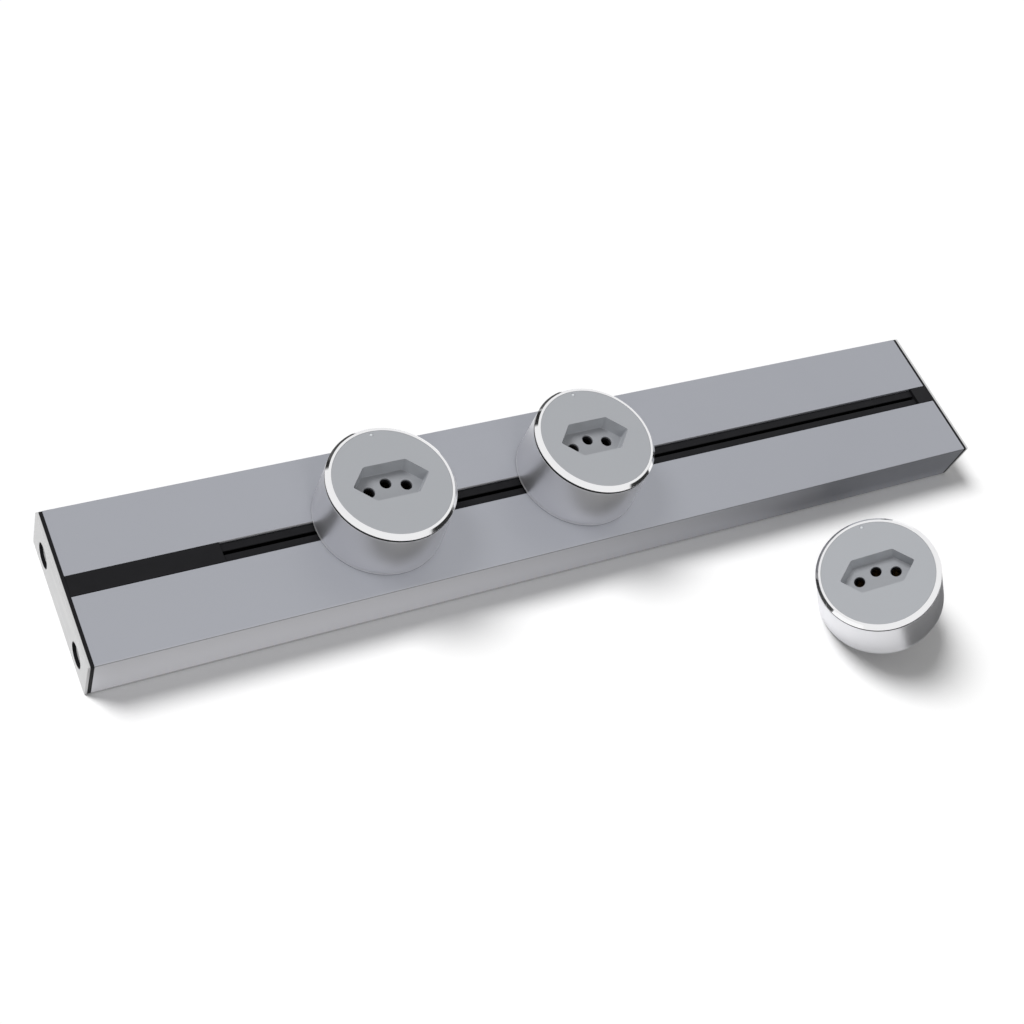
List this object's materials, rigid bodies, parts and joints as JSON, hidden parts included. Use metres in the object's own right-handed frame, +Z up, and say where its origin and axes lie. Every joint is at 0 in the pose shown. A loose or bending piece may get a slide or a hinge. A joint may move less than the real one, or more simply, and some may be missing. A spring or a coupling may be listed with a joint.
{
  "type": "power track socket",
  "caption": "Surface mounted aluminium power track with a dust-lipped slot and round plug-in socket modules that slide along it and lock by a quarter turn.",
  "frame": {"origin": "centre of the track's flat underside, on the surface that it stands on", "axes": "+X along the track towards the short end cover, +Y across it to the side of the indicator lamps, +Z up out of the slot"},
  "size_m": [0.5, 0.1783, 0.0583],
  "materials": {
    "anodised_aluminium": "satin anodised",
    "white_insulation": "moulded",
    "copper": "drawn copper",
    "brass": "stamped brass",
    "black_rubber": "matt",
    "black_plastic": "fine satin",
    "pale_plate": "satin",
    "silver_plastic": "satin silver lacquer",
    "face_plastic": "fine satin silver",
    "chrome": "bright plated",
    "clear_lens": "clear moulded"
  },
  "bodies": {
    "track": {"track_extrusion": "anodised_aluminium", "rear_liner": "black_plastic", "front_liner": "black_plastic", "live_busbar": "copper", "neutral_busbar": "copper", "earth_busbar": "copper", "rear_dust_lip": "black_rubber", "front_dust_lip": "black_rubber", "feed_cover": "black_plastic", "end_cover": "black_plastic", "feed_terminal": "white_insulation", "left_end_cap": "black_plastic", "left_end_plate": "pale_plate", "left_rear_end_rivet": "pale_plate", "left_front_end_rivet": "pale_plate", "right_end_cap": "black_plastic", "right_end_plate": "pale_plate", "right_rear_end_rivet": "pale_plate", "right_front_end_rivet": "pale_plate", "socket_3_guide_pad": "silver_plastic", "socket_3_contact_carrier": "black_plastic", "socket_3_live_contact": "brass", "socket_3_neutral_contact": "brass", "socket_3_earth_contact": "brass", "socket_3_housing": "silver_plastic", "socket_3_trim_ring": "chrome", "socket_3_face_plate": "face_plastic", "socket_3_contact_cover": "black_plastic", "socket_3_lamp_lens": "clear_lens"},
    "socket_1_slider": {"socket_1_guide_pad": "silver_plastic"},
    "socket_1_module": {"socket_1_contact_carrier": "black_plastic", "socket_1_live_contact": "brass", "socket_1_neutral_contact": "brass", "socket_1_earth_contact": "brass", "socket_1_housing": "silver_plastic", "socket_1_trim_ring": "chrome", "socket_1_face_plate": "face_plastic", "socket_1_contact_cover": "black_plastic", "socket_1_lamp_lens": "clear_lens"},
    "socket_2_slider": {"socket_2_guide_pad": "silver_plastic"},
    "socket_2_module": {"socket_2_contact_carrier": "black_plastic", "socket_2_live_contact": "brass", "socket_2_neutral_contact": "brass", "socket_2_earth_contact": "brass", "socket_2_housing": "silver_plastic", "socket_2_trim_ring": "chrome", "socket_2_face_plate": "face_plastic", "socket_2_contact_cover": "black_plastic", "socket_2_lamp_lens": "clear_lens"}
  },
  "joints": [
    {"name": "socket_1_slide", "type": "slide", "parent": "track", "child": "socket_1_slider", "axis": [1, 0, 0], "range_m": [-0.059, 0.0225], "deforming": ["rear_dust_lip", "front_dust_lip"]},
    {"name": "socket_1_turn", "type": "hinge", "parent": "socket_1_slider", "child": "socket_1_module", "pos_m": [-0.1005, 0, 0.0253], "axis": [0, 0, 1], "range_deg": [0, 90]},
    {"name": "socket_2_slide", "type": "slide", "parent": "track", "child": "socket_2_slider", "axis": [1, 0, 0], "range_m": [-0.0225, 0.208], "deforming": ["rear_dust_lip", "front_dust_lip"]},
    {"name": "socket_2_turn", "type": "hinge", "parent": "socket_2_slider", "child": "socket_2_module", "pos_m": [0.0095, 0, 0.0253], "axis": [0, 0, 1], "range_deg": [0, 90]}
  ]
}
